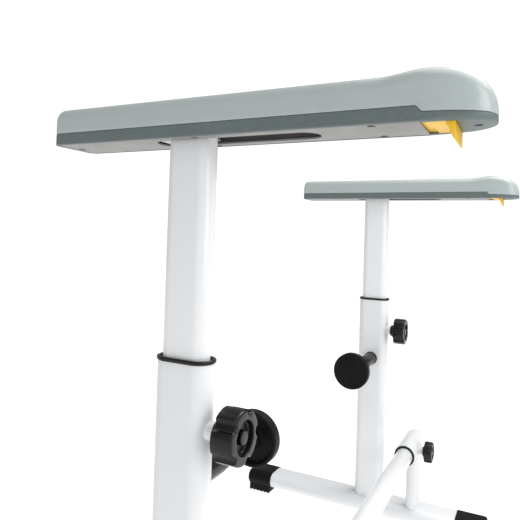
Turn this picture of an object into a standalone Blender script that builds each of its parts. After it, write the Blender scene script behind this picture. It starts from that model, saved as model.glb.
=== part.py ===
"""Toilet safety frame: two oval telescoping posts with swing-up armrests, joined by a low cross tube.

Frame: metres, +Z up, front of the frame towards -Y, the user's right arm at -X.
Origin on the floor, midway between the posts.  Every piece is one named object.
"""
import math

import bmesh
import bpy
from mathutils import Matrix, Vector

# ---- driving dimensions -------------------------------------------------------------------
POST_SPACING = 0.675        # between the two post centres
ARM_HEIGHT = 0.656          # floor to the flat underside of the armrests
COLLAR_DROP = 0.210         # underside of the arm down to the top of the outer post
GAP = 0.0003                # between faces that touch on the real object
SLIDE_GAP = 0.0003          # round a piece that slides or turns in another

INNER_DEPTH, INNER_WIDTH, INNER_WALL = 0.050, 0.024, 0.0015      # telescoping post, oval tube
OUTER_WALL, SLEEVE_SIDE, SLEEVE_END = 0.0015, 0.0015, 0.0035     # lower post and its clearance
INNER_INSERT = 0.190        # length of the inner post inside the outer post
COLLAR_FLANGE, COLLAR_LIP, COLLAR_SLEEVE = 0.004, 0.0012, 0.045

RAIL_WIDTH, RAIL_HEIGHT, RAIL_WALL = 0.060, 0.030, 0.0018        # rail on the floor
RAIL_FRONT = 0.220                                               # rail ahead of the post's centre
FOOT_HEIGHT, FOOT_LENGTH, FOOT_CAP, FOOT_RIM = 0.012, 0.046, 0.010, 0.0015
FOOT_HALF, FOOT_REACH = 0.42, 0.9                                # sole per rail width and per cap

CROSS_Y, CROSS_Z = -0.092, 0.173      # centre line of the low cross tube
CROSS_DIA, CROSS_WALL, CROSS_INSERT = 0.030, 0.0015, 0.060
BUSH_WALL, BUSH_FLANGE, BUSH_LENGTH = 0.0022, 0.004, 0.020
SOCKET_WALL, SOCKET_LENGTH, SOCKET_END = 0.0018, 0.100, 0.003
DOME_FLAT, DOME_BEND, DOME_FALL = 0.75, 0.93, 0.3     # closed end's shoulder, per radius and end
RISER_DIA, RISER_INSET = 0.028, 0.010

KNOB_DROP = 0.2715          # arm underside down to the height knob's axis
KNOB_DIA, KNOB_DEPTH, KNOB_LOBES, KNOB_EDGE = 0.051, 0.0225, 5, 0.0012
KNOB_NECK, KNOB_NECK_DIA = 0.0077, 0.022             # round neck between the boss and the grip
WIDTH_KNOB_DIA, WIDTH_KNOB_DEPTH = 0.038, 0.015
WIDTH_KNOB_NECK, WIDTH_KNOB_NECK_DIA = 0.003, 0.018
KNOB_NOTCH, WIDTH_KNOB_NOTCH = 0.0064, 0.0049        # radius of the grip notches
NOTCH_OUT = 0.35                                     # their centres outside the rim, in radii
KNOB_DISH, DISH_RIM, DISH_HUB = 0.006, 0.30, 0.13    # recess in the face, its rims per diameter
STUD_SINK = 0.004                                    # stud's root inside the grip
STUD_DIA, BOSS_WALL, WIDTH_BOSS_WALL, BOSS_LENGTH = 0.008, 0.005, 0.0035, 0.007
WIDTH_KNOB_INSET = 0.042    # socket mouth to the width knob's axis

PAD_DROP = 0.330            # arm underside down to the pad's axis
PAD_DIA, PAD_THICKNESS, PAD_FACE_X = 0.066, 0.014, 0.186
PAD_HUB_WALL, PAD_HUB_LENGTH, PAD_DISH, PAD_SEAT = 0.006, 0.014, 0.006, 0.003
SPINDLE_DIA, WHEEL_RIM, WHEEL_LENGTH, WHEEL_INSET = 0.010, 0.008, 0.008, 0.006
PAD_SLEEVE_WALL, PAD_SLEEVE_LENGTH, SPINDLE_INSERT = 0.007, 0.060, 0.028

ARM_REAR, ARM_TIP = 0.1585, -0.272    # ends of the armrest, from the post centre
ARM_WIDTH, ARM_THICKNESS = 0.058, 0.0388
BUMP_HEIGHT, BUMP_START, BUMP_END = 0.0428, 0.087, 0.048        # swell: start and top, from the tip
NOSE_LENGTH, NOSE_POWER, NOSE_END = 0.057, 2.6, 0.98
ARM_CORNER, ARM_REAR_ROUND, ARM_CROWN = 0.013, 0.008, 0.0008
SHELL_WALL, REAR_WALL = 0.0022, 0.007
PARTING, PARTING_NOSE, PARTING_TIP = 0.012, 0.0072, 0.0062      # joint between the two shells
STEP_AT, STEP_LENGTH = 0.0565, 0.006                            # step in that joint, from the tip
KEEL_START, KEEL_RADIUS, KEEL_TURN = 0.027, 0.400, 5            # rise of the nose's underside

CHANNEL_WALL, CHANNEL_HEIGHT = 0.0015, 0.023
SLOT_SIDE, SLOT_END = 0.003, 0.0095   # room round the post and ahead of its head in the slot
PIVOT_LIFT, PIVOT_DIA, SWING_GAP = 0.007, 0.006, 0.001          # arm hinge, above the underside
KNUCKLE_RADIUS, KNUCKLE_ROOM = 0.0055, 0.0015
HEAD_INSET, HEAD_REACH, HEAD_LOW, HEAD_HIGH = 0.0025, 0.1215, 0.0065, 0.0185
FORK_WALL, FORK_LENGTH, PLUG_LENGTH = 0.003, 0.0235, 0.025
STRIKER_INSET, STRIKER_LIFT, STRIKER_DIA = 0.0055, 0.0115, 0.005
HOOK_WIDTH, HOOK_PLATE = 0.008, 0.0035
HOOK_OVER, HOOK_BEHIND, HOOK_UNDER = 0.0015, 0.002, 0.0005      # hook's clearance round the striker
WEB_FRONT, WEB_REAR = 0.020, 0.0125                             # hook's front web, from the striker
LATCH_TRAVEL, TRIGGER_ROOM = 0.007, 0.0005      # full pull, and what is left ahead of the channel
ROD_DIA, ROD_LIFT, ROD_COLLAR_DIA, ROD_COLLAR = 0.003, 0.0125, 0.010, 0.0015
GUIDE_AHEAD, GUIDE_LENGTH, GUIDE_WIDTH, SPRING_ROOM = 0.032, 0.004, 0.018, 0.025
SPRING_DIA, SPRING_WIRE, SPRING_TURNS = 0.0075, 0.0009, 5
REST_LENGTH, REST_HEIGHT, REST_BEHIND = 0.010, 0.006, 0.008
TRIGGER_WIDTH, TRIGGER_OVERLAP, TRIGGER_AT = 0.045, 0.0035, 0.0275
TRIGGER_PLATE, TAB_DROP, TAB_BASE, TAB_EDGE = 0.0025, 0.013, 0.0070, 0.001
RECESS_LENGTH, ROD_INSET = 0.026, 0.010
LUG_LENGTH, LUG_INSET = 0.004, 0.014
SCREW_DIA, SCREW_HEAD_DIA, SCREW_HOLE_DIA, SCREW_LENGTH = 0.003, 0.0062, 0.0072, 0.014
SCREW_YS, REAR_SCREW_Y, NOSE_SCREW_AT = (-0.181, -0.015), 0.146, 0.0135

# ---- sizes that follow --------------------------------------------------------------------
OUTER_WIDTH = INNER_WIDTH + 2 * (SLEEVE_SIDE + OUTER_WALL)
OUTER_DEPTH = INNER_DEPTH + 2 * (SLEEVE_END + OUTER_WALL)
SOCKET_DIA = CROSS_DIA + 2 * (BUSH_WALL + SOCKET_WALL)
POST_X = POST_SPACING / 2
POST_TOP = ARM_HEIGHT - COLLAR_DROP
RAIL_TOP = FOOT_HEIGHT + RAIL_HEIGHT
RAIL_Z = FOOT_HEIGHT + RAIL_HEIGHT / 2
NOSE_START = ARM_TIP + NOSE_LENGTH
NOSE_Y = NOSE_START - NOSE_LENGTH * NOSE_END              # the arm's real front end
RAIL_REAR = -NOSE_Y - FOOT_CAP                            # feet reach as far back as the arms forward
KNOB_Z = ARM_HEIGHT - KNOB_DROP
BOSS_DIA, WIDTH_BOSS_DIA = STUD_DIA + 2 * BOSS_WALL, STUD_DIA + 2 * WIDTH_BOSS_WALL
SOCKET_MOUTH = POST_X - SOCKET_LENGTH
WIDTH_KNOB_X = SOCKET_MOUTH + WIDTH_KNOB_INSET
PAD_Z = ARM_HEIGHT - PAD_DROP
SLEEVE_FOOT = POST_X - OUTER_WIDTH / 2 - GAP
SLEEVE_MOUTH = SLEEVE_FOOT - PAD_SLEEVE_LENGTH
PAD_FLOOR = PAD_THICKNESS - PAD_DISH

PIVOT_Y = INNER_DEPTH / 2 + PIVOT_LIFT + SWING_GAP        # the hanging arm just clears the post
PIVOT_Z = ARM_HEIGHT + PIVOT_LIFT
HALF_ARM = ARM_WIDTH / 2
CHANNEL_HALF = HALF_ARM - SHELL_WALL - GAP
CHANNEL_INNER = CHANNEL_HALF - CHANNEL_WALL
CHANNEL_REAR = ARM_REAR - REAR_WALL - GAP
TRIGGER_FRONT = ARM_TIP + TRIGGER_AT
CHANNEL_FRONT = TRIGGER_FRONT + RECESS_LENGTH
SWELL_START, SWELL_END = ARM_TIP + BUMP_START, ARM_TIP + BUMP_END
STEP_START, STEP_END = ARM_TIP + STEP_AT, ARM_TIP + STEP_AT - STEP_LENGTH
HEAD_WIDTH = INNER_WIDTH - 2 * HEAD_INSET
HEAD_FRONT = -HEAD_REACH
SLOT_FRONT, SLOT_REAR = HEAD_FRONT - SLOT_END, PIVOT_Y + KNUCKLE_RADIUS + KNUCKLE_ROOM
SLOT_WIDTH = INNER_WIDTH + 2 * SLOT_SIDE
STRIKER_Y = HEAD_FRONT + STRIKER_INSET
FORK_REAR = HEAD_FRONT + FORK_LENGTH
REST_Y = FORK_REAR + REST_BEHIND + REST_LENGTH / 2
GUIDE_Y = SLOT_FRONT - GUIDE_AHEAD
ROD_COLLAR_Y = GUIDE_Y - GUIDE_LENGTH / 2 - SPRING_ROOM
ROD_FRONT = TRIGGER_FRONT + ROD_INSET
SCREW_X = CHANNEL_INNER - SCREW_HOLE_DIA / 2 - GAP
NOSE_SCREW_Y = ARM_TIP + NOSE_SCREW_AT

WHITE = ("white_paint", (0.83, 0.84, 0.85), 0.30, 0.0)
BLACK = ("black_plastic", (0.015, 0.016, 0.017), 0.30, 0.0)
RUBBER = ("black_rubber", (0.02, 0.02, 0.02), 0.75, 0.0)
STEEL = ("zinc_steel", (0.55, 0.56, 0.57), 0.35, 1.0)
SHELL = ("pale_grey_shell", (0.42, 0.47, 0.46), 0.42, 0.0)
DARK = ("dark_grey_shell", (0.115, 0.145, 0.14), 0.55, 0.0)
YELLOW = ("yellow_trigger", (0.80, 0.46, 0.06), 0.45, 0.0)
CHANNEL = ("beige_paint", (0.60, 0.59, 0.57), 0.40, 0.0)
NYLON = ("white_nylon", (0.75, 0.75, 0.72), 0.55, 0.0)

SIDE_VIEW = Matrix(((0, 0, 1, 0), (1, 0, 0, 0), (0, 1, 0, 0), (0, 0, 0, 1)))    # drawn in Y, Z
FRONT_VIEW = Matrix(((1, 0, 0, 0), (0, 0, -1, 0), (0, 1, 0, 0), (0, 0, 0, 1)))  # drawn in X, Z

for old in list(bpy.data.objects):
    bpy.data.objects.remove(old, do_unlink=True)
PARTS = bpy.data.collections.new("toilet_safety_frame")
CUTTERS = bpy.data.collections.new("cutters")
bpy.context.scene.collection.children.link(PARTS)
bpy.context.scene.collection.children.link(CUTTERS)


# ---- helpers ------------------------------------------------------------------------------
def finish_for(look):
    """The material of that name, made on first use."""
    name, colour, roughness, metallic = look
    made = bpy.data.materials.get(name)
    if made is None:
        made = bpy.data.materials.new(name)
        made.use_nodes = True
        shader = made.node_tree.nodes["Principled BSDF"]
        shader.inputs["Base Color"].default_value = (*colour, 1)
        shader.inputs["Roughness"].default_value = roughness
        shader.inputs["Metallic"].default_value = metallic
    return made


def add_piece(name, mesh, look, place=None):
    """A mesh as a named part, or as a cutter when it has no look."""
    piece = bpy.data.objects.new(name, mesh)
    if look is None:
        CUTTERS.objects.link(piece)
        piece.hide_render = True
        piece.display_type = 'WIRE'
    else:
        PARTS.objects.link(piece)
        mesh.materials.append(finish_for(look))
        mesh.shade_smooth()
        mesh.set_sharp_from_angle(angle=math.radians(35))
    piece.matrix_world = place if place is not None else Matrix.Identity(4)
    return piece


def mesh_from(bm, name):
    mesh = bpy.data.meshes.new(name)
    bm.to_mesh(mesh)
    bm.free()
    return mesh


def box(name, look, low, high):
    """A block between two corners."""
    low, high = Vector(low), Vector(high)
    bm = bmesh.new()
    bmesh.ops.create_cube(bm, size=1.0)
    bmesh.ops.scale(bm, vec=high - low, verts=bm.verts)
    return add_piece(name, mesh_from(bm, name), look, Matrix.Translation((low + high) / 2))


def axis_place(axis, at):
    """Local +Z along the given world axis, origin at a point."""
    turn = Vector((0, 0, 1)).rotation_difference(Vector(axis)).to_matrix().to_4x4()
    return Matrix.Translation(at) @ turn


def cylinder(name, look, start, end, diameter, sides=24):
    """A round bar between two points."""
    start, end = Vector(start), Vector(end)
    bm = bmesh.new()
    bmesh.ops.create_cone(bm, cap_ends=True, segments=sides, radius1=diameter / 2,
                          radius2=diameter / 2, depth=(end - start).length)
    return add_piece(name, mesh_from(bm, name), look, axis_place(end - start, (start + end) / 2))


def turned(name, look, profile, axis, at, sides=24):
    """A turned piece: (radius, height) points down the outer side, along the axis from a point.

    A profile that starts and ends on the axis makes a solid; any other is closed into a ring."""
    mesh = bpy.data.meshes.new(name)
    points = [(r, 0, z) for r, z in profile]
    edges = [(i, i + 1) for i in range(len(points) - 1)]
    if profile[0][0] > 0:
        edges.append((len(points) - 1, 0))
    mesh.from_pydata(points, edges, [])
    piece = add_piece(name, mesh, look, axis_place(axis, at))
    screw = piece.modifiers.new("turn", 'SCREW')
    screw.steps = screw.render_steps = sides
    screw.use_merge_vertices = True
    screw.merge_threshold = 1e-5
    screw.use_smooth_shade = True
    return piece


def outline(name, look, loops, low, high, view=None, at=(0, 0, 0)):
    """A flat outline, with holes if there are more loops, extruded from low to high."""
    curve = bpy.data.curves.new(name, 'CURVE')
    curve.dimensions = '2D'
    curve.fill_mode = 'BOTH'
    curve.extrude = (high - low) / 2
    for loop in loops:
        spline = curve.splines.new('POLY')
        spline.points.add(len(loop) - 1)
        for point, (u, v) in zip(spline.points, loop):
            point.co = (u, v, 0, 1)
        spline.use_cyclic_u = True
    drawn = bpy.data.objects.new(name + "_curve", curve)
    bpy.context.scene.collection.objects.link(drawn)
    graph = bpy.context.evaluated_depsgraph_get()
    mesh = bpy.data.meshes.new_from_object(drawn.evaluated_get(graph))
    bpy.data.objects.remove(drawn)
    bpy.data.curves.remove(curve)
    bm = bmesh.new()
    bm.from_mesh(mesh)
    bmesh.ops.remove_doubles(bm, verts=bm.verts, dist=1e-6)
    bmesh.ops.recalc_face_normals(bm, faces=bm.faces)
    bm.to_mesh(mesh)
    bm.free()
    mesh.name = name
    mesh.materials.clear()
    flat = view if view is not None else Matrix.Identity(4)
    shift = Matrix.Translation((0, 0, (low + high) / 2))
    return add_piece(name, mesh, look, Matrix.Translation(at) @ flat @ shift)


def combine(piece, other, operation):
    """Cut, join or keep the common volume with another piece, which becomes a cutter."""
    change = piece.modifiers.new(operation.lower(), 'BOOLEAN')
    change.operation = operation
    change.object = other
    change.solver = 'EXACT'
    return piece


def bevel(piece, width, segments=2, angle=40):
    rounded = piece.modifiers.new("round", 'BEVEL')
    rounded.width = width
    rounded.segments = segments
    rounded.limit_method = 'ANGLE'
    rounded.angle_limit = math.radians(angle)
    return piece


def arc(centre, radius, start, end, steps):
    """Points of an arc, angles in degrees."""
    turn = [math.radians(start + (end - start) * i / steps) for i in range(steps + 1)]
    return [(centre[0] + radius * math.cos(a), centre[1] + radius * math.sin(a)) for a in turn]


def stadium(width, depth, steps=8):
    """An oval tube's outline: straight sides, half-round ends, long way along v."""
    radius, half = width / 2, (depth - width) / 2
    return arc((0, half), radius, 0, 180, steps) + arc((0, -half), radius, 180, 360, steps)


def oval_tube(name, look, width, depth, wall, low, high, at, steps=8):
    """A vertical oval tube with its long way along Y."""
    loops = [stadium(width, depth, steps), stadium(width - 2 * wall, depth - 2 * wall, steps)]
    return outline(name, look, loops, low, high, at=at)


def lobed(diameter, lobes, notch, steps=4):
    """A round grip's outline with a hollow of the given radius between its lobes."""
    radius = diameter / 2
    centre = radius + notch * NOTCH_OUT
    half = math.degrees(math.acos((centre ** 2 + radius ** 2 - notch ** 2) / (2 * centre * radius)))
    reach = math.degrees(math.asin(radius * math.sin(math.radians(half)) / notch))
    points = []
    for i in range(lobes):
        middle = 360 * i / lobes
        at = (centre * math.cos(math.radians(middle)), centre * math.sin(math.radians(middle)))
        points += arc(at, notch, middle + 180 + reach, middle + 180 - reach, steps)
        points += arc((0, 0), radius, middle + half, middle + 360 / lobes - half, steps)[1:-1]
    return points


def smooth(t):
    """0 to 1 with a level start and end."""
    t = min(max(t, 0.0), 1.0)
    return t * t * (3 - 2 * t)


def hold(body, at, pieces):
    """Parent a moving body's pieces to an empty on its joint's axis."""
    empty = bpy.data.objects.new(body, None)
    PARTS.objects.link(empty)
    empty.matrix_world = Matrix.Translation(at)
    empty.empty_display_size = 0.02
    for piece in pieces:
        piece.parent = empty
        piece.matrix_parent_inverse = Matrix.Translation(at).inverted()


# ---- armrest form -------------------------------------------------------------------------
def nose_share(y):
    """How far along the nose, 0 where it starts and 1 at the tip."""
    return min(max((NOSE_START - y) / (NOSE_START - ARM_TIP), 0.0), 1.0)


def rear_round(y):
    """How far the rear end's rounding has drawn the surface in."""
    past = y - (ARM_REAR - ARM_REAR_ROUND)
    if past <= 0:
        return 0.0
    return ARM_REAR_ROUND - math.sqrt(max(ARM_REAR_ROUND ** 2 - past ** 2, 0.0))


def half_width(y):
    nose = (1 - nose_share(y) ** NOSE_POWER) ** (1 / NOSE_POWER)
    return HALF_ARM * nose - rear_round(y)


def top_height(y):
    swell = smooth((SWELL_START - y) / (SWELL_START - SWELL_END))
    crest = ARM_THICKNESS + (BUMP_HEIGHT - ARM_THICKNESS) * swell
    nose = (1 - nose_share(y) ** NOSE_POWER) ** (1 / NOSE_POWER)
    return parting(y) + (crest - parting(y)) * nose - rear_round(y)


def parting(y):
    """Height of the joint between the upper and the lower shell."""
    if y > STEP_START:
        return PARTING
    if y > STEP_END:
        return PARTING + (PARTING_NOSE - PARTING) * (STEP_START - y) / (STEP_START - STEP_END)
    return PARTING_NOSE + (PARTING_TIP - PARTING_NOSE) * smooth(nose_share(y))


def section(y):
    """One cross-section of the upper shell, from the left edge over the top to the right edge."""
    half, top, low = half_width(y), top_height(y), parting(y)
    corner = min(ARM_CORNER, 0.8 * half, 0.8 * (top - low))
    left = [(-half, low)] + arc((-half + corner, top - corner), corner, 180, 90, 4)
    middle = [(0, top + ARM_CROWN * half / HALF_ARM)]
    return left + middle + [(-x, z) for x, z in reversed(left)]


def arm_stations():
    """Places along the arm where its form changes, closer together where it bends."""
    rear = [ARM_REAR - ARM_REAR_ROUND * (1 - math.sin(math.radians(a))) for a in (80, 55, 28, 0)]
    straight = [(ARM_REAR + SWELL_START) / 2, SWELL_START]
    swell = [SWELL_START + (SWELL_END - SWELL_START) * i / 5 for i in range(1, 6)]
    nose = [NOSE_START + (ARM_TIP - NOSE_START) * s
            for s in (0, .2, .4, .58, .73, .85, .93, NOSE_END)]
    return sorted(rear + straight + swell + [STEP_START, STEP_END] + nose, reverse=True)


def plan_outline():
    """The arm seen from above."""
    side = [(half_width(y), y) for y in arm_stations()]
    return side + [(-x, y) for x, y in reversed(side)]


def arm_shell(name, at):
    """The upper shell: a surface lofted through the sections, given its wall inwards."""
    bm = bmesh.new()
    rings = [[bm.verts.new((x, y, z)) for x, z in section(y)] for y in arm_stations()]
    for first, second in zip(rings, rings[1:]):
        for i in range(len(first) - 1):
            bm.faces.new((first[i], second[i], second[i + 1], first[i + 1]))
    bm.faces.new(rings[0])
    bm.faces.new(list(reversed(rings[-1])))
    bmesh.ops.recalc_face_normals(bm, faces=bm.faces)
    shell = add_piece(name, mesh_from(bm, name), SHELL, Matrix.Translation(at))
    wall = shell.modifiers.new("wall", 'SOLIDIFY')
    wall.thickness = SHELL_WALL
    wall.offset = -1
    wall.use_even_offset = True
    return shell


def arm_lower(name, at):
    """The lower shell: a skirt round the channel that closes into a boat-shaped nose."""
    lower = outline(name, DARK, [plan_outline()], 0, PARTING, at=at)
    rise = [(y, parting(y) - GAP) for y in reversed(arm_stations())]
    keel = arc((ARM_TIP + KEEL_START, KEEL_RADIUS), KEEL_RADIUS, 270, 270 - KEEL_TURN, 4)
    beyond = 0.01
    side = [(ARM_REAR + beyond, PARTING - GAP), (ARM_REAR + beyond, 0)] + keel
    side += [(ARM_TIP - beyond, keel[-1][1]), (ARM_TIP - beyond, PARTING_TIP - GAP)] + rise[:-1]
    form = outline(name + "_form", None, [side], -HALF_ARM - beyond, HALF_ARM + beyond,
                   SIDE_VIEW, at)
    combine(lower, form, 'INTERSECT')
    x, y, z = at
    pocket_half = CHANNEL_HALF + GAP
    pocket = box(name + "_pocket", None, (x - pocket_half, CHANNEL_FRONT - GAP, z - 0.01),
                 (x + pocket_half, CHANNEL_REAR + GAP, z + 0.03))
    combine(lower, pocket, 'DIFFERENCE')
    recess_half = TRIGGER_WIDTH / 2 + SLIDE_GAP
    recess = box(name + "_recess", None, (x - recess_half, TRIGGER_FRONT - SLIDE_GAP, z - 0.01),
                 (x + recess_half, CHANNEL_FRONT + 0.001, z + 0.03))
    combine(lower, recess, 'DIFFERENCE')
    hole = cylinder(name + "_hole", None, (x, NOSE_SCREW_Y, z - 0.01), (x, NOSE_SCREW_Y, z + 0.02),
                    SCREW_HEAD_DIA + 2 * GAP, 12)
    combine(lower, hole, 'DIFFERENCE')
    return lower


def arm_channel(name, at):
    """The steel channel: flat bottom with the post slot, two upright walls, pin and screw holes."""
    x, y, z = at
    rear, front = CHANNEL_REAR, CHANNEL_FRONT
    wide, inner = CHANNEL_HALF, CHANNEL_INNER
    folded = [(-wide, 0), (wide, 0), (wide, CHANNEL_HEIGHT), (inner, CHANNEL_HEIGHT),
              (inner, CHANNEL_WALL), (-inner, CHANNEL_WALL), (-inner, CHANNEL_HEIGHT),
              (-wide, CHANNEL_HEIGHT)]
    channel = outline(name, CHANNEL, [folded], -rear, -front, FRONT_VIEW, at)
    half, radius = (SLOT_REAR - SLOT_FRONT) / 2, SLOT_WIDTH / 2
    centre = (SLOT_REAR + SLOT_FRONT) / 2
    slot = outline(name + "_slot", None, [stadium(2 * radius, 2 * half)], -0.01, CHANNEL_WALL + 0.002,
                   at=(x, centre, z))
    combine(channel, slot, 'DIFFERENCE')
    pin = cylinder(name + "_pin_hole", None, (x - 0.04, PIVOT_Y, z + PIVOT_LIFT),
                   (x + 0.04, PIVOT_Y, z + PIVOT_LIFT), PIVOT_DIA + 2 * SLIDE_GAP, 16)
    combine(channel, pin, 'DIFFERENCE')
    for i, (sx, sy) in enumerate(screw_places()):
        hole = cylinder(f"{name}_screw_hole_{i}", None, (x + sx, sy, z - 0.005),
                        (x + sx, sy, z + CHANNEL_WALL + 0.002), SCREW_HOLE_DIA, 12)
        combine(channel, hole, 'DIFFERENCE')
    return channel


def screw_places():
    """The holes in the channel's underside for the screws that hold the upper shell."""
    return [(side * SCREW_X, y) for y in SCREW_YS for side in (-1, 1)] + [(0, REAR_SCREW_Y)]


def nose_screw(name, at):
    """The self-tapping screw that closes the nose, its head sunk in the lower shell."""
    head, shank, low = SCREW_HEAD_DIA / 2, SCREW_DIA / 2, 0.0015
    top = low + SCREW_LENGTH
    profile = [(0, top), (shank, top - 0.001), (shank, low + 0.002), (head, low + 0.002),
               (head, low + 0.0006), (head * 0.7, low), (0, low)]
    x, y, z = at
    return turned(name, STEEL, profile, (0, 0, 1), (x, NOSE_SCREW_Y, z), 12)


# ---- post head and latch ------------------------------------------------------------------
def post_head(name, at):
    """Support bar on the inner post: hinge knuckle behind, fork for the latch in front."""
    x, y, z = at
    bar = [(HEAD_FRONT, HEAD_HIGH), (HEAD_FRONT, HEAD_LOW)]
    knuckle = arc((PIVOT_Y, PIVOT_LIFT), KNUCKLE_RADIUS, -100, 90, 8)
    side = bar + [(INNER_DEPTH / 2 + 0.002, HEAD_LOW)] + knuckle + [(PIVOT_Y - 0.008, HEAD_HIGH)]
    head = outline(name, STEEL, [side], -HEAD_WIDTH / 2, HEAD_WIDTH / 2, SIDE_VIEW, at)
    inset = 2 * (INNER_WALL + SLIDE_GAP)
    plug = outline(name + "_plug", None, [stadium(INNER_WIDTH - inset, INNER_DEPTH - inset)],
                   HEAD_LOW - PLUG_LENGTH, HEAD_LOW + 0.003, at=at)
    combine(head, plug, 'UNION')
    fork_half = HEAD_WIDTH / 2 - FORK_WALL
    fork = box(name + "_fork", None, (x - fork_half, HEAD_FRONT - 0.01, z),
               (x + fork_half, FORK_REAR, z + HEAD_HIGH + 0.01))
    combine(head, fork, 'DIFFERENCE')
    for label, py, lift, dia in (("pivot", PIVOT_Y, PIVOT_LIFT, PIVOT_DIA),
                                 ("striker", STRIKER_Y, STRIKER_LIFT, STRIKER_DIA)):
        bore = cylinder(f"{name}_{label}_bore", None, (x - 0.03, py, z + lift),
                        (x + 0.03, py, z + lift), dia + 2 * SLIDE_GAP, 16)
        combine(head, bore, 'DIFFERENCE')
    return head


def latch_hook(name, at):
    """A J-shaped hook over and behind the striker pin, its nose reaching back under the pin."""
    radius = STRIKER_DIA / 2
    over = STRIKER_LIFT + radius + HOOK_OVER
    under = STRIKER_LIFT - radius - HOOK_UNDER
    back = STRIKER_Y + radius + HOOK_BEHIND
    top = over + HOOK_PLATE
    web_front, web_rear = STRIKER_Y - WEB_FRONT, STRIKER_Y - WEB_REAR
    side = [(web_front, top), (web_front, ROD_LIFT - 0.004), (web_rear, ROD_LIFT - 0.004),
            (web_rear, over), (back, over), (back, under), (STRIKER_Y - 0.0005, under),
            (STRIKER_Y - 0.0015, under - 0.001), (STRIKER_Y, under - HOOK_PLATE),
            (back + HOOK_PLATE, under - HOOK_PLATE), (back + HOOK_PLATE, top)]
    return outline(name, STEEL, [side], -HOOK_WIDTH / 2, HOOK_WIDTH / 2, SIDE_VIEW, at)


def pull_rod(name, at):
    """The rod from the trigger to the hook, with the spring's collar turned on it."""
    x, y, z = at
    rear = STRIKER_Y - WEB_FRONT - GAP
    length, collar = rear - ROD_FRONT, ROD_COLLAR_Y - ROD_FRONT
    rod, flange = ROD_DIA / 2, ROD_COLLAR_DIA / 2
    profile = [(0, length), (rod, length), (rod, collar), (flange, collar),
               (flange, collar - ROD_COLLAR), (rod, collar - ROD_COLLAR), (rod, 0), (0, 0)]
    return turned(name, STEEL, profile, (0, 1, 0), (x, ROD_FRONT, z + ROD_LIFT), 10)


def latch_spring(name, at):
    """The return spring between the rod's collar and the guide."""
    start = ROD_COLLAR_Y + GAP + SPRING_WIRE / 2
    end = GUIDE_Y - GUIDE_LENGTH / 2 - GAP - SPRING_WIRE / 2
    radius = (SPRING_DIA - SPRING_WIRE) / 2
    per_turn = 8
    count = SPRING_TURNS * per_turn
    curve = bpy.data.curves.new(name, 'CURVE')
    curve.dimensions = '3D'
    curve.bevel_depth = SPRING_WIRE / 2
    curve.bevel_resolution = 1
    curve.use_fill_caps = True
    spline = curve.splines.new('POLY')
    spline.points.add(count)
    for i, point in enumerate(spline.points):
        turn = 2 * math.pi * i / per_turn
        point.co = (radius * math.cos(turn), start + (end - start) * i / count,
                    ROD_LIFT + radius * math.sin(turn), 1)
    spring = bpy.data.objects.new(name, curve)
    curve.materials.append(finish_for(STEEL))
    PARTS.objects.link(spring)
    spring.matrix_world = Matrix.Translation(at)
    return spring


def trigger(name, at):
    """The finger trigger: flush with the underside, a tongue over the channel's end, a lug, a tab."""
    x, y, z = at
    front, rear = TRIGGER_FRONT + SLIDE_GAP, CHANNEL_FRONT + TRIGGER_OVERLAP
    flush = CHANNEL_FRONT - LATCH_TRAVEL - TRIGGER_ROOM
    low = CHANNEL_WALL + SLIDE_GAP
    high = low + TRIGGER_PLATE
    lug = ROD_FRONT - GAP
    lug_top = ROD_LIFT + ROD_DIA
    side = [(rear, low), (rear, high), (lug, high), (lug, lug_top), (lug - LUG_LENGTH, lug_top),
            (lug - LUG_LENGTH, high), (front, high), (front, -TAB_DROP),
            (front + TAB_EDGE, -TAB_DROP), (front + TAB_BASE, GAP), (flush, GAP), (flush, low)]
    piece = outline(name, YELLOW, [side], -TRIGGER_WIDTH / 2, TRIGGER_WIDTH / 2, SIDE_VIEW, at)
    lug_half = TRIGGER_WIDTH / 2 - LUG_INSET
    for label, sign in (("a", -1), ("b", 1)):
        near, far = sorted((sign * lug_half, sign * (TRIGGER_WIDTH / 2 + 0.001)))
        trim = box(f"{name}_trim_{label}", None, (x + near, front - 0.001, z + high),
                   (x + far, rear + 0.001, z + lug_top + 0.001))
        combine(piece, trim, 'DIFFERENCE')
    return piece


# ---- knobs --------------------------------------------------------------------------------
def grip_knob(name, sizes, face_y, tip_y, at):
    """A lobed knob with a recessed face, its neck and its stud, axis along Y, facing the front."""
    diameter, depth, notch, neck, neck_dia = sizes
    x, z = at
    back = face_y - neck
    grip = outline(name, BLACK, [lobed(diameter, KNOB_LOBES, notch)], -back, -back + depth,
                   FRONT_VIEW, (x, 0, z))
    bevel(grip, KNOB_EDGE, 1, 60)
    outer, hub, beyond = diameter * DISH_RIM, diameter * DISH_HUB, 0.02
    ring = [(hub, beyond), (outer, beyond), (outer, 0), (hub, 0)]
    dish = turned(name + "_dish", None, ring, (0, -1, 0), (x, back - depth + KNOB_DISH, z), 16)
    combine(grip, dish, 'DIFFERENCE')
    collar = cylinder(name + "_neck", None, (x, back - STUD_SINK, z), (x, face_y, z), neck_dia, 20)
    combine(grip, collar, 'UNION')
    stud = cylinder(name + "_stud", None, (x, back - STUD_SINK / 2, z), (x, tip_y, z), STUD_DIA, 16)
    combine(grip, stud, 'UNION')
    return grip


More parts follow.
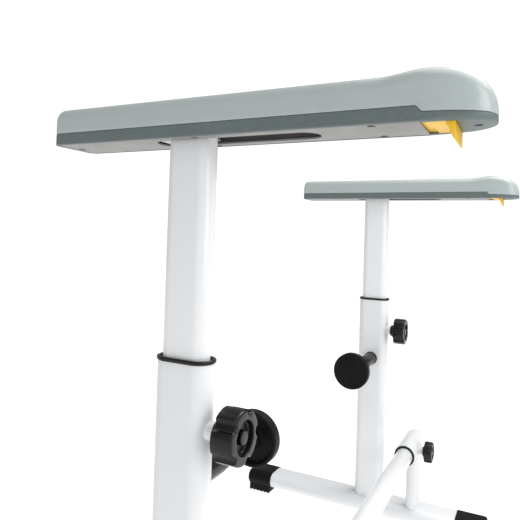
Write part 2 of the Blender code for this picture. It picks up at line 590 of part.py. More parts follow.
# ---- one side of the frame ----------------------------------------------------------------
def lower_frame(side, sign):
    """Rail, feet, outer post, riser and cross-tube socket: the welded side."""
    x = sign * POST_X
    rail_loops = [[(u, v) for v, u in stadium(RAIL_HEIGHT - 2 * w, RAIL_WIDTH - 2 * w)]
                  for w in (0, RAIL_WALL)]
    outline(side + "_base_rail", WHITE, rail_loops, -RAIL_REAR, RAIL_FRONT, FRONT_VIEW, (x, 0, RAIL_Z))
    rail_foot(side + "_front_foot", x, -RAIL_FRONT, -1)
    rail_foot(side + "_rear_foot", x, RAIL_REAR, 1)

    post = oval_tube(side + "_outer_post", WHITE, OUTER_WIDTH, OUTER_DEPTH, OUTER_WALL,
                     RAIL_TOP + GAP, POST_TOP, (x, 0, 0))
    face = -OUTER_DEPTH / 2
    boss = cylinder(side + "_post_boss", None, (x, face + OUTER_WALL / 2, KNOB_Z),
                    (x, face - BOSS_LENGTH, KNOB_Z), BOSS_DIA, 20)
    combine(post, boss, 'UNION')
    hole = cylinder(side + "_post_hole", None, (x, -OUTER_DEPTH, KNOB_Z), (x, -INNER_DEPTH / 2, KNOB_Z),
                    STUD_DIA + 2 * SLIDE_GAP, 16)
    combine(post, hole, 'DIFFERENCE')

    sleeve_w, sleeve_d = OUTER_WIDTH - 2 * OUTER_WALL - 2 * GAP, OUTER_DEPTH - 2 * OUTER_WALL - 2 * GAP
    bore = stadium(INNER_WIDTH + 2 * SLIDE_GAP, INNER_DEPTH + 2 * SLIDE_GAP)
    collar = outline(side + "_post_collar", BLACK, [stadium(sleeve_w, sleeve_d), bore],
                     POST_TOP - COLLAR_SLEEVE, POST_TOP + 0.002, at=(x, 0, 0))
    flange = outline(side + "_collar_flange", None,
                     [stadium(OUTER_WIDTH + 2 * COLLAR_LIP, OUTER_DEPTH + 2 * COLLAR_LIP), bore],
                     POST_TOP + GAP, POST_TOP + COLLAR_FLANGE, at=(x, 0, 0))
    combine(collar, flange, 'UNION')

    riser_x = sign * (POST_X - RISER_INSET)
    riser = cylinder(side + "_riser", WHITE, (riser_x, CROSS_Y, RAIL_Z), (riser_x, CROSS_Y, CROSS_Z),
                     RISER_DIA)
    rail_form = outline(side + "_riser_foot", None,
                        [[(u, v) for v, u in stadium(RAIL_HEIGHT + 2 * GAP, RAIL_WIDTH + 2 * GAP)]],
                        -0.1 - CROSS_Y, 0.1 - CROSS_Y, FRONT_VIEW, (x, 0, RAIL_Z))
    combine(riser, rail_form, 'DIFFERENCE')
    socket_form = cylinder(side + "_riser_cope", None, (x - sign * 0.2, CROSS_Y, CROSS_Z),
                           (x + sign * 0.05, CROSS_Y, CROSS_Z), SOCKET_DIA + 2 * GAP, 32)
    combine(riser, socket_form, 'DIFFERENCE')
    cross_socket(side, sign)


def rail_foot(name, x, end, way):
    """A rubber end cap over the rail's mouth, with a pad that runs back under the rail."""
    low, high = sorted((-end - way * GAP, -end - way * FOOT_CAP))
    cap = outline(name, RUBBER,
                  [[(u, v) for v, u in stadium(RAIL_HEIGHT + 2 * FOOT_RIM, RAIL_WIDTH + 2 * FOOT_RIM)]],
                  low, high, FRONT_VIEW, (x, 0, RAIL_Z))
    near, far = sorted((end - way * FOOT_LENGTH, end + way * FOOT_CAP * FOOT_REACH))
    half = RAIL_WIDTH * FOOT_HALF
    pad_block = box(name + "_pad", None, (x - half, near, 0), (x + half, far, FOOT_HEIGHT - GAP))
    return combine(cap, pad_block, 'UNION')


def cross_socket(side, sign):
    """The short round socket, closed outboard, that the cross tube slides into, and its bush."""
    mouth = sign * SOCKET_MOUTH
    radius, bore = SOCKET_DIA / 2, SOCKET_DIA / 2 - SOCKET_WALL
    dome = SOCKET_LENGTH + SOCKET_END
    socket = turned(side + "_cross_socket", WHITE,
                    [(0, dome), (radius * DOME_FLAT, dome),
                     (radius * DOME_BEND, dome - SOCKET_END * DOME_FALL), (radius, dome - SOCKET_END),
                     (radius, 0), (0, 0)],
                    (sign, 0, 0), (mouth, CROSS_Y, CROSS_Z), 32)
    knob_x = sign * WIDTH_KNOB_X
    face = CROSS_Y - radius
    boss = cylinder(side + "_socket_boss", None, (knob_x, CROSS_Y - bore / 2, CROSS_Z),
                    (knob_x, face - BOSS_LENGTH, CROSS_Z), WIDTH_BOSS_DIA, 20)
    combine(socket, boss, 'UNION')
    clear = cylinder(side + "_socket_bore", None, (mouth - sign * SOCKET_END, CROSS_Y, CROSS_Z),
                     (sign * POST_X, CROSS_Y, CROSS_Z), 2 * bore, 32)
    combine(socket, clear, 'DIFFERENCE')
    hole = cylinder(side + "_socket_hole", None, (knob_x, CROSS_Y - 0.04, CROSS_Z),
                    (knob_x, CROSS_Y - CROSS_DIA / 2, CROSS_Z), STUD_DIA + 2 * SLIDE_GAP, 16)
    combine(socket, hole, 'DIFFERENCE')
    outer, inner = bore - GAP, CROSS_DIA / 2 + SLIDE_GAP
    lip = radius - 0.0006
    turned(side + "_socket_bush", BLACK,
           [(inner, BUSH_LENGTH), (outer, BUSH_LENGTH), (outer, -GAP), (lip, -GAP),
            (lip, -BUSH_FLANGE), (inner, -BUSH_FLANGE)],
           (sign, 0, 0), (mouth, CROSS_Y, CROSS_Z), 24)
    pad_sleeve(side + "_pad_sleeve", sign)


def pad_sleeve(name, sign):
    """The long threaded sleeve on the inboard face of the post that carries the pad's spindle."""
    bore = SPINDLE_DIA / 2 + SLIDE_GAP
    outer = SPINDLE_DIA / 2 + PAD_SLEEVE_WALL
    return turned(name, BLACK, [(bore, PAD_SLEEVE_LENGTH), (outer - 0.002, PAD_SLEEVE_LENGTH),
                                (outer, PAD_SLEEVE_LENGTH - 0.002), (outer, 0), (bore, 0)],
                  (-sign, 0, 0), (sign * SLEEVE_FOOT, 0, PAD_Z), 24)


def pad(side, sign):
    """The bowl pad with its hub, and the spindle with its hand wheel."""
    rim, hub = PAD_DIA / 2, SPINDLE_DIA / 2 + PAD_HUB_WALL
    seat = SPINDLE_DIA / 2 + SLIDE_GAP
    face = (sign * PAD_FACE_X, 0, PAD_Z)
    hub_end, bottom = PAD_THICKNESS + PAD_HUB_LENGTH, PAD_FLOOR - PAD_SEAT
    profile = [(0, bottom), (seat, bottom), (seat, hub_end), (hub, hub_end),
               (hub, PAD_FLOOR), (rim - 0.006, PAD_FLOOR), (rim - 0.004, PAD_THICKNESS),
               (rim - 0.001, PAD_THICKNESS), (rim, PAD_THICKNESS - 0.002), (rim, 0.002),
               (rim - 0.002, 0), (0, 0)]
    rubber = turned(side + "_bowl_pad", RUBBER, profile, (sign, 0, 0), face, 28)
    start, end = PAD_FACE_X + bottom + GAP, SLEEVE_MOUTH + SPINDLE_INSERT
    wheel = PAD_FACE_X + hub_end + WHEEL_INSET - start
    rod, grip = SPINDLE_DIA / 2, SPINDLE_DIA / 2 + WHEEL_RIM
    length = end - start
    screw = [(0, length), (rod - 0.001, length), (rod, length - 0.001), (rod, wheel + WHEEL_LENGTH),
             (grip, wheel + WHEEL_LENGTH), (grip, wheel), (rod, wheel), (rod, 0), (0, 0)]
    spindle = turned(side + "_pad_spindle", STEEL, screw, (sign, 0, 0), (sign * start, 0, PAD_Z), 20)
    hold(side + "_pad", face, [rubber])
    hold(side + "_pad_screw", (sign * start, 0, PAD_Z), [spindle])


def knobs(side, sign):
    """The height and the width clamp knobs, each with its stud just clear of the inner tube."""
    x = sign * POST_X
    face = -OUTER_DEPTH / 2 - BOSS_LENGTH - GAP
    sizes = (KNOB_DIA, KNOB_DEPTH, KNOB_NOTCH, KNOB_NECK, KNOB_NECK_DIA)
    high = grip_knob(side + "_height_knob", sizes, face, -INNER_DEPTH / 2 - GAP, (x, KNOB_Z))
    hold(side + "_height_clamp", (x, face, KNOB_Z), [high])
    knob_x = sign * WIDTH_KNOB_X
    face = CROSS_Y - SOCKET_DIA / 2 - BOSS_LENGTH - GAP
    sizes = (WIDTH_KNOB_DIA, WIDTH_KNOB_DEPTH, WIDTH_KNOB_NOTCH, WIDTH_KNOB_NECK, WIDTH_KNOB_NECK_DIA)
    low = grip_knob(side + "_width_knob", sizes, face, CROSS_Y - CROSS_DIA / 2 - GAP, (knob_x, CROSS_Z))
    hold(side + "_width_clamp", (knob_x, face, CROSS_Z), [low])


def lift(side, sign):
    """The telescoping inner post with its head and striker pin."""
    x = sign * POST_X
    at = (x, 0, ARM_HEIGHT)
    post = oval_tube(side + "_inner_post", WHITE, INNER_WIDTH, INNER_DEPTH, INNER_WALL,
                     POST_TOP - INNER_INSERT, ARM_HEIGHT + HEAD_LOW - GAP, (x, 0, 0))
    head = post_head(side + "_post_head", at)
    striker = cylinder(side + "_striker_pin", STEEL, (x - HEAD_WIDTH / 2, STRIKER_Y, at[2] + STRIKER_LIFT),
                       (x + HEAD_WIDTH / 2, STRIKER_Y, at[2] + STRIKER_LIFT), STRIKER_DIA, 16)
    hold(side + "_lift", (x, 0, POST_TOP), [post, head, striker])


def arm(side, sign):
    """The armrest that swings up about the pivot pin at the back of the post head."""
    x = sign * POST_X
    at = (x, 0, ARM_HEIGHT)
    shell = arm_shell(side + "_arm_shell", at)
    lower = arm_lower(side + "_arm_lower", at)
    channel = arm_channel(side + "_arm_channel", at)
    screw = nose_screw(side + "_nose_screw", at)
    inner = CHANNEL_INNER
    reach = CHANNEL_HALF - GAP
    rivet = cylinder(side + "_pivot_pin", STEEL, (x - reach, PIVOT_Y, PIVOT_Z),
                     (x + reach, PIVOT_Y, PIVOT_Z), PIVOT_DIA, 16)
    near, far, bore = HEAD_WIDTH / 2 + SLIDE_GAP, inner - SLIDE_GAP, PIVOT_DIA / 2 + SLIDE_GAP
    bushes = [turned(f"{side}_pivot_bush_{label}", NYLON,
                     [(bore, far), (KNUCKLE_RADIUS, far), (KNUCKLE_RADIUS, near), (bore, near)],
                     (way, 0, 0), (x, PIVOT_Y, PIVOT_Z), 16)
              for label, way in (("inboard", -sign), ("outboard", sign))]
    rest = box(side + "_arm_rest_bar", STEEL,
               (x - inner + GAP, REST_Y - REST_LENGTH / 2, ARM_HEIGHT + HEAD_HIGH + GAP),
               (x + inner - GAP, REST_Y + REST_LENGTH / 2, ARM_HEIGHT + HEAD_HIGH + GAP + REST_HEIGHT))
    guide = box(side + "_rod_guide", STEEL,
                (x - GUIDE_WIDTH / 2, GUIDE_Y - GUIDE_LENGTH / 2, ARM_HEIGHT + CHANNEL_WALL + GAP),
                (x + GUIDE_WIDTH / 2, GUIDE_Y + GUIDE_LENGTH / 2, ARM_HEIGHT + ROD_LIFT + 0.006))
    bore = cylinder(side + "_guide_bore", None, (x, GUIDE_Y - 0.01, ARM_HEIGHT + ROD_LIFT),
                    (x, GUIDE_Y + 0.01, ARM_HEIGHT + ROD_LIFT), ROD_DIA + 2 * SLIDE_GAP, 12)
    combine(guide, bore, 'DIFFERENCE')
    spring = latch_spring(side + "_latch_spring", at)
    pivot = (x, PIVOT_Y, PIVOT_Z)
    hold(side + "_arm", pivot, [shell, lower, channel, screw, rivet, *bushes, rest, guide, spring])
    hook = latch_hook(side + "_latch_hook", at)
    rod = pull_rod(side + "_pull_rod", at)
    finger = trigger(side + "_release_trigger", at)
    hold(side + "_latch", (x, TRIGGER_FRONT, ARM_HEIGHT), [hook, rod, finger])


def cross_tube():
    """The inner tube that ties the two sides together and sets their spacing."""
    half = SOCKET_MOUTH + CROSS_INSERT
    radius = CROSS_DIA / 2
    tube = turned("cross_tube", WHITE, [(radius - CROSS_WALL, half), (radius, half), (radius, -half),
                                        (radius - CROSS_WALL, -half)],
                  (1, 0, 0), (0, CROSS_Y, CROSS_Z), 32)
    hold("cross_bar", (0, CROSS_Y, CROSS_Z), [tube])


for side, sign in (("right", -1), ("left", 1)):
    lower_frame(side, sign)
    knobs(side, sign)
    pad(side, sign)
    lift(side, sign)
    arm(side, sign)
cross_tube()
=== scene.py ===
import math

import bmesh
import bpy
from mathutils import Matrix, Vector


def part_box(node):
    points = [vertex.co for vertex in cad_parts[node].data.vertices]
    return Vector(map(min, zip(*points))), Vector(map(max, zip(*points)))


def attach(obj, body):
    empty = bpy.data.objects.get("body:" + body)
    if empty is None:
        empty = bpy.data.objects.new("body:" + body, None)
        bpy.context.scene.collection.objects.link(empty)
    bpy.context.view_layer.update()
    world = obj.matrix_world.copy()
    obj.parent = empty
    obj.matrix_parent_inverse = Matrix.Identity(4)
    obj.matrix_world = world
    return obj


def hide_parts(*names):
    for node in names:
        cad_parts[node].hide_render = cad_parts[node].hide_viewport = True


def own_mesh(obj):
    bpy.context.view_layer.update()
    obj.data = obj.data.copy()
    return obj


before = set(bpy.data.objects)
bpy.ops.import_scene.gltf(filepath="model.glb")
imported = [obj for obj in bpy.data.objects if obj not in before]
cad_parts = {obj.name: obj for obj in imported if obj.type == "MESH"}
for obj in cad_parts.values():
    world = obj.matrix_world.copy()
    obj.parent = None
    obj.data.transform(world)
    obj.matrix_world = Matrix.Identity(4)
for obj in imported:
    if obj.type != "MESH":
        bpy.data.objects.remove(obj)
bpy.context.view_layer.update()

SIDES = (("right", -1), ("left", 1))

# ---- the arm's form, in metres from its post centre and its flat underside -----------------
ARM_TIP, ARM_REAR = -0.272, 0.1585
HALF_ARM, ARM_THICKNESS, BUMP_HEIGHT = 0.029, 0.0388, 0.0428
SWELL_START, SWELL_END = -0.185, -0.224        # where the top starts to rise, and its crest
NOSE_START, NOSE_POWER, NOSE_END = -0.215, 2.6, 0.9975
CORNER, REAR_ROUND, CROWN = 0.013, 0.008, 0.0008
SHELL_WALL, REAR_WALL, SEAM = 0.0022, 0.007, 0.0003
PARTING, PARTING_NOSE, PARTING_TIP = 0.012, 0.0072, 0.0062
STEP_START, STEP_END = -0.2155, -0.2215        # step in the joint between the two shells
KEEL_START, KEEL_RADIUS = -0.245, 0.400
LOW_EDGE, NOSE_EDGE = 0.0011, 0.0040           # bottom edge's rounding, along the arm and in the nose
RECESS_FRONT, RECESS_REAR, RECESS_HALF = -0.2445, -0.2185, 0.0228
CHANNEL_HALF, CHANNEL_WALL, CHANNEL_HEIGHT, CHANNEL_BEND = 0.0265, 0.0015, 0.023, 0.0022
SLOT_FRONT, SLOT_REAR, SLOT_HALF = -0.131, 0.040, 0.015
PIVOT_Y, PIVOT_Z, PIN_HOLE = 0.033, 0.007, 0.0066
SCREW_PLACES = [(x, y) for y in (-0.181, -0.015) for x in (-0.0211, 0.0211)] + [(0, 0.146)]
SCREW_HOLE, SCREW_DEPTH, NOSE_SCREW_Y = 0.0072, 0.0046, -0.2585
TRIGGER_HALF, TAB_DROP, TAB_BASE, LUG_HALF = 0.0225, 0.013, 0.0070, 0.0085
LUG_REAR, LUG_LENGTH, LUG_TOP, TONGUE = -0.2348, 0.004, 0.0155, (0.0018, 0.0043)

# ---- round and oval pieces ------------------------------------------------------------------
# knobs: radius, depth, notch radius, neck length, neck radius, rounding of the front edge
HEIGHT_KNOB, HEIGHT_KNOB_Z = (0.0255, 0.0225, 0.0064, 0.0077, 0.011, 0.0026), 0.3845
WIDTH_KNOB, WIDTH_KNOB_X = (0.019, 0.015, 0.0049, 0.003, 0.009, 0.0045), 0.2795
LOBES, KNOB_DISH, STUD_RADIUS, THREAD_PITCH, THREAD_DEPTH = 5, 0.006, 0.004, 0.00125, 0.0004
SPINDLE_PITCH = 0.002                          # the pad moves this far for each turn
TUBE_WALL, RAIL_WALL, BEAD = 0.0015, 0.0018, 0.0017
BOSS_RADIUS, WIDTH_BOSS_RADIUS, BOSS_LENGTH = 0.009, 0.0075, 0.007


# ---- materials ------------------------------------------------------------------------------
def node(tree, kind, **inputs):
    """A shader node with the given input values; a node socket given as a value is linked."""
    made = tree.nodes.new(kind)
    for name, value in inputs.items():
        socket = made.inputs[name.replace("_", " ")]
        if isinstance(value, bpy.types.NodeSocket):
            tree.links.new(value, socket)
        else:
            socket.default_value = value
    return made


def grain(tree, where, scale, detail=4.0, roughness=0.55):
    """Noise of the given scale, in cycles a metre."""
    return node(tree, "ShaderNodeTexNoise", Vector=where, Scale=scale, Detail=detail,
                Roughness=roughness).outputs["Fac"]


def between(tree, fac, low, high):
    """Takes the middle of a noise to the range from low to high."""
    spread = node(tree, "ShaderNodeMapRange", Value=fac, From_Min=0.3, From_Max=0.7, To_Min=low,
                  To_Max=high)
    return spread.outputs["Result"]


def finish(name, color, roughness, grains, metallic=0.0, coat=0.0, vary=0.04, dust=None,
           stretch=(1, 1, 1), specular=0.5):
    """A procedural finish: colour drift, roughness patches and bumps at several scales.

    roughness is a range, and grains lists (cycles a metre, height in metres).
    """
    made = bpy.data.materials.new(name)
    made.use_nodes = True
    tree = made.node_tree
    surface = tree.nodes["Principled BSDF"]
    place = node(tree, "ShaderNodeTexCoord").outputs["Object"]
    where = node(tree, "ShaderNodeMapping", Vector=place, Scale=stretch).outputs["Vector"]
    broad = grain(tree, where, 9, 5)
    fine = grain(tree, where, 160, 6, 0.65)
    tint = node(tree, "ShaderNodeMix")
    tint.data_type = "RGBA"
    dark = [c * (1 - vary) for c in color]
    light = [min(c * (1 + vary), 1) for c in color]
    tree.links.new(between(tree, broad, 0, 1), tint.inputs[0])
    tint.inputs[6].default_value = (*dark, 1)
    tint.inputs[7].default_value = (*light, 1)
    shade = tint.outputs[2]
    if dust:
        speck = node(tree, "ShaderNodeMix")
        speck.data_type = "RGBA"
        tree.links.new(between(tree, fine, -0.35, dust[1]), speck.inputs[0])
        tree.links.new(shade, speck.inputs[6])
        speck.inputs[7].default_value = (*dust[0], 1)
        shade = speck.outputs[2]
    tree.links.new(shade, surface.inputs["Base Color"])
    patches = between(tree, grain(tree, where, 34, 5, 0.6), *roughness)
    tree.links.new(patches, surface.inputs["Roughness"])
    surface.inputs["Metallic"].default_value = metallic
    surface.inputs["Coat Weight"].default_value = coat
    surface.inputs["Coat Roughness"].default_value = 0.12
    surface.inputs["Specular IOR Level"].default_value = specular
    normal = None
    for scale, height in grains:
        bump = node(tree, "ShaderNodeBump", Height=grain(tree, where, scale, 3), Strength=1.0,
                    Distance=height)
        if normal:
            tree.links.new(normal, bump.inputs["Normal"])
        normal = bump.outputs["Normal"]
    tree.links.new(normal, surface.inputs["Normal"])
    return made


LOOKS = {
    "white_paint": finish("white_paint", (0.75, 0.76, 0.77), (0.28, 0.33),
                          [(420, 0.00003), (1500, 0.00001)], coat=0.15, vary=0.006),
    "black_plastic": finish("black_plastic", (0.005, 0.0055, 0.006), (0.22, 0.34),
                            [(900, 0.00003), (140, 0.00003)], coat=0.05, vary=0.2, specular=0.28),
    "black_rubber": finish("black_rubber", (0.006, 0.0065, 0.007), (0.36, 0.52),
                           [(1300, 0.00006), (260, 0.00005)], vary=0.2, specular=0.1,
                           dust=((0.02, 0.021, 0.022), 0.25)),
    "zinc_steel": finish("zinc_steel", (0.56, 0.57, 0.58), (0.22, 0.42),
                         [(700, 0.00003), (2600, 0.00001)], metallic=1.0, vary=0.08,
                         stretch=(1, 0.15, 1)),
    "arm_shell": finish("arm_shell", (0.37, 0.42, 0.41), (0.33, 0.43),
                        [(1700, 0.00004), (480, 0.00002)], coat=0.35, vary=0.02,
                        dust=((0.42, 0.47, 0.46), 0.35)),
    "arm_lower": finish("arm_lower", (0.105, 0.132, 0.130), (0.40, 0.54),
                        [(1700, 0.00006), (480, 0.00003)], vary=0.05,
                        dust=((0.15, 0.18, 0.175), 0.3)),
    "trigger": finish("trigger", (0.78, 0.47, 0.022), (0.28, 0.38),
                      [(1400, 0.00003), (380, 0.00003)], vary=0.03, specular=0.3),
    # channel: a mid grey, darker than the channel's light grey paint, so this colour is partly painted
    # shade for the underside that faces the floor
    "channel_paint": finish("channel_paint", (0.21, 0.207, 0.2), (0.36, 0.52),
                            [(520, 0.00007), (1800, 0.00002)], vary=0.03),
    "nylon": finish("nylon", (0.62, 0.61, 0.57), (0.35, 0.5), [(1100, 0.00004)], vary=0.04),
}


# ---- meshes ---------------------------------------------------------------------------------
def rounded(points, steps=5, closed=True):
    """A polygon of (x, y) or (x, y, radius) corners with each radius turned as an arc."""
    result, count = [], len(points)
    for i, corner in enumerate(points):
        radius = corner[2] if len(corner) > 2 else 0
        here = Vector(corner[:2])
        if not radius or (not closed and i in (0, count - 1)):
            result.append(tuple(here))
            continue
        back = Vector(points[i - 1][:2]) - here
        ahead = Vector(points[(i + 1) % count][:2]) - here
        half = back.angle(ahead) / 2
        reach = min(radius / math.tan(half), 0.49 * back.length, 0.49 * ahead.length)
        radius = reach * math.tan(half)
        centre = here + (back.normalized() + ahead.normalized()).normalized() * radius / math.sin(half)
        start = here + back.normalized() * reach - centre
        end = here + ahead.normalized() * reach - centre
        for k in range(steps + 1):
            result.append(tuple(centre + start.slerp(end, k / steps).normalized() * radius))
    return result


def skin(rings, around=True, along=False, caps=False):
    """A mesh over rings of points: each ring closed if around, the last joined to the first if along."""
    bm = bmesh.new()
    rows = [[bm.verts.new(p) for p in ring] for ring in rings]
    count = len(rows[0])
    for a, b in zip(rows, rows[1:] + (rows[:1] if along else [])):
        for i in range(count if around else count - 1):
            j = (i + 1) % count
            bm.faces.new((a[i], a[j], b[j], b[i]))
    if caps:
        bm.faces.new(reversed(rows[0]))
        bm.faces.new(rows[-1])
    return bm


def turned(section, straight=0.0, steps=72, wave=None):
    """A (radius, height) section carried round a circle, or round an oval with straight sides.

    The section is a closed loop, or runs from axis to axis. wave changes a point's radius.
    """
    rings = []
    for half, shift in ((0, straight / 2), (1, -straight / 2)):
        last = steps // 2 + (1 if straight else 0)
        for k in range(last):
            angle = math.pi * (half + k * 2 / steps)
            ring = []
            for radius, height in section:
                radius = wave(angle, radius, height) if wave else radius
                ring.append((radius * math.cos(angle), radius * math.sin(angle) + shift, height))
            rings.append(ring)
    open_ends = section[0][0] == 0 and section[-1][0] == 0
    bm = skin(rings, around=not open_ends, along=True)
    bmesh.ops.remove_doubles(bm, verts=bm.verts, dist=1e-7)
    return bm


def prism(points, low, high):
    """A flat outline in X and Y, drawn out along Z."""
    return skin([[(x, y, z) for x, y in points] for z in (low, high)], caps=True)


def along(axis, at=(0, 0, 0)):
    """Turns local Z to the given axis and moves it to a point."""
    turn = Vector((0, 0, 1)).rotation_difference(Vector(axis)).to_matrix().to_4x4()
    return Matrix.Translation(at) @ turn


SIDE_VIEW = Matrix(((0, 0, 1, 0), (1, 0, 0, 0), (0, 1, 0, 0), (0, 0, 0, 1)))   # (y, z) drawn along X
RAIL_VIEW = Matrix(((0, 1, 0, 0), (0, 0, 1, 0), (1, 0, 0, 0), (0, 0, 0, 1)))   # oval lying along Y


def solid(name, bm, place=None):
    """A mesh object from a bmesh, faces out, its round parts shaded smooth."""
    if place:
        bmesh.ops.transform(bm, matrix=place, verts=bm.verts)
    bmesh.ops.recalc_face_normals(bm, faces=bm.faces)
    mesh = bpy.data.meshes.new(name)
    bm.to_mesh(mesh)
    bm.free()
    mesh.shade_smooth()
    mesh.set_sharp_from_angle(angle=math.radians(32))
    made = bpy.data.objects.new(name, mesh)
    bpy.context.scene.collection.objects.link(made)
    return made


def settle(piece):
    """Applies a piece's modifiers, so that its mesh is final."""
    bpy.context.view_layer.update()
    seen = piece.evaluated_get(bpy.context.evaluated_depsgraph_get())
    mesh = bpy.data.meshes.new_from_object(seen)
    piece.modifiers.clear()
    piece.data = mesh
    mesh.shade_smooth()
    mesh.set_sharp_from_angle(angle=math.radians(32))


def cut(piece, *cutters):
    """Takes the cutters' shapes out of a piece and removes them."""
    for cutter in cutters:
        step = piece.modifiers.new("cut", "BOOLEAN")
        step.object = cutter
        step.solver = "EXACT"
    settle(piece)
    for cutter in cutters:
        bpy.data.objects.remove(cutter)


def soften(piece, width, segments=3, angle=40, apply=True):
    """Rounds a piece's sharp edges."""
    edge = piece.modifiers.new("edge", "BEVEL")
    edge.width = width
    edge.segments = segments
    edge.limit_method = "ANGLE"
    edge.angle_limit = math.radians(angle)
    edge.use_clamp_overlap = True
    if apply:
        settle(piece)


def show(piece, look, body, *nodes):
    """Gives a piece its finish and body; it stands for the CAD nodes named."""
    piece.data.materials.clear()
    piece.data.materials.append(LOOKS[look])
    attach(piece, body)
    if nodes:
        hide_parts(*nodes)
    return piece


def keep(name, look, edge=None):
    """A CAD node that is already the right shape gets its finish, and soft edges."""
    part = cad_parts[name]
    part.data.materials.clear()
    part.data.materials.append(LOOKS[look])
    weld = part.modifiers.new("weld", "WELD")
    weld.merge_threshold = 1e-5
    if edge:
        soften(part, edge, 2, 50, apply=False)


def bead(name, path, body):
    """A weld bead along a closed path, its surface rippled."""
    rings, count = [], len(path)
    for i, point in enumerate(path):
        tangent = (Vector(path[(i + 1) % count]) - Vector(path[i - 1])).normalized()
        side = tangent.cross(Vector((0, 0, 1))).normalized()
        up = side.cross(tangent)
        radius = BEAD * (1 + 0.10 * math.sin(i * math.pi / 2))
        rings.append([Vector(point) + (side * math.cos(a) + up * math.sin(a)) * radius
                      for a in (math.tau * k / 10 for k in range(10))])
    return show(solid(name, skin(rings, along=True)), "white_paint", body)


def screw(name, at, look, body, *nodes, radius=0.0031):
    """A pan-head screw seen from below, with a cross recess, its head at the given point."""
    head = solid(name, turned(rounded([(0, 0), (radius, 0.0003, 0.0011), (radius, 0.0022, 0.0002),
                                       (0.0016, 0.0022), (0.0016, 0.009), (0, 0.0105)],
                                      closed=False), steps=40), Matrix.Translation(at))
    arms = []
    for turn in (0, math.pi / 2):
        half, tip = 0.0019, 0.0009
        wedge = [(-half, -0.001), (half, -0.001), (tip, 0.0014), (-tip, 0.0014)]
        place = Matrix.Translation(at) @ Matrix.Rotation(turn, 4, "Z") @ SIDE_VIEW
        arms.append(solid(name + "_cut", prism(wedge, -0.0003, 0.0003), place))
    cut(head, *arms)
    return show(head, look, body, *nodes)


# ---- the arm's form -------------------------------------------------------------------------
def smooth(t):
    t = min(max(t, 0.0), 1.0)
    return t * t * (3 - 2 * t)


def nose_share(y):
    return min(max((NOSE_START - y) / (NOSE_START - ARM_TIP), 0.0), 1.0)


def nose_scale(y):
    """How much of its full size the section keeps as the nose closes."""
    return (1 - nose_share(y) ** NOSE_POWER) ** (1 / NOSE_POWER)


def rear_inset(y):
    past = y - (ARM_REAR - REAR_ROUND)
    return REAR_ROUND - math.sqrt(max(REAR_ROUND ** 2 - past ** 2, 0)) if past > 0 else 0.0


def half_width(y):
    return HALF_ARM * nose_scale(y) - rear_inset(y)


def parting(y):
    """Height of the joint between the two shells."""
    if y > STEP_END:
        share = smooth((STEP_START - y) / (STEP_START - STEP_END))
        return PARTING + (PARTING_NOSE - PARTING) * share
    return PARTING_NOSE + (PARTING_TIP - PARTING_NOSE) * smooth(nose_share(y))


def top_height(y):
    swell = smooth((SWELL_START - y) / (SWELL_START - SWELL_END))
    crest = ARM_THICKNESS + (BUMP_HEIGHT - ARM_THICKNESS) * swell
    return parting(y) + (crest - parting(y)) * nose_scale(y) - rear_inset(y)


def stations():
    """Places along the arm, close together where its form turns."""
    rear = [ARM_REAR - REAR_ROUND * (1 - math.sin(math.radians(a))) for a in range(84, -1, -12)]
    straight = [ARM_REAR - REAR_ROUND + (SWELL_START - ARM_REAR + REAR_ROUND) * i / 8
                for i in range(1, 9)]
    swell = [SWELL_START + (STEP_START - SWELL_START) * i / 22 for i in range(1, 22)]
    step = [STEP_START + (STEP_END - STEP_START) * i / 8 for i in range(9)]
    nose = [NOSE_START + (ARM_TIP - NOSE_START) * NOSE_END * math.sin(math.pi / 2 * i / 26)
            for i in range(27)]
    return sorted({round(y, 6) for y in rear + straight + swell + step + nose}, reverse=True)


def shell_ring(y, inset):
    """The upper shell's section at y, from one lower edge over the top to the other."""
    half, low = half_width(y), parting(y)
    rise = top_height(y) - low
    inner_half, inner_rise = max(half - inset, 0.2 * half), max(rise - inset, 0.2 * rise)
    corner = min(max(CORNER - inset, 0.004), 0.85 * inner_half, 0.85 * inner_rise)
    top = low + inner_rise
    middle = inner_half - corner
    lip = 0.0006 if not inset else 0.0
    left = [(-inner_half + lip, low), (-inner_half + 0.3 * lip, low + 0.3 * lip), (-inner_half, low + lip)]
    side = [(-inner_half, low + lip + (top - corner - low - lip) * k / 4) for k in range(1, 4)]
    bend = [(-middle - corner * math.cos(a), top - corner + corner * math.sin(a))
            for a in (math.pi / 2 * k / 12 for k in range(13))]
    crown = CROWN * half / HALF_ARM
    flat = [(-middle + middle * k / 4, top + crown * (1 - (1 - k / 4) ** 2)) for k in range(1, 4)]
    half_ring = left + side + bend + flat
    ring = half_ring + [(0, top + crown)] + [(-x, z) for x, z in reversed(half_ring)]
    reach = min(max(y, ARM_TIP + 1.6 * inset), ARM_REAR - inset)
    return [(x, reach, z) for x, z in ring]


def upper_shell(name, at, body, node_name):
    """The moulded upper shell: an outer and an inner skin joined round the lower edge."""
    outer = [shell_ring(y, 0.0) for y in stations()]
    inner = [shell_ring(y, SHELL_WALL) for y in stations()]
    bm = bmesh.new()
    skins = [[[bm.verts.new(p) for p in ring] for ring in side] for side in (outer, inner)]
    for rows in skins:
        for a, b in zip(rows, rows[1:]):
            for i in range(len(a) - 1):
                bm.faces.new((a[i], a[i + 1], b[i + 1], b[i]))
    (out, inn), last = skins, len(outer) - 1
    for i in (0, -1):
        for k in range(last):
            bm.faces.new((out[k][i], out[k + 1][i], inn[k + 1][i], inn[k][i]))
    for k in (0, last):
        bm.faces.new(out[k])
        bm.faces.new(inn[k])
        bm.faces.new((out[k][0], out[k][-1], inn[k][-1], inn[k][0]))
    bmesh.ops.remove_doubles(bm, verts=bm.verts, dist=1e-7)
    return show(solid(name, bm, Matrix.Translation(at)), "arm_shell", body, node_name)


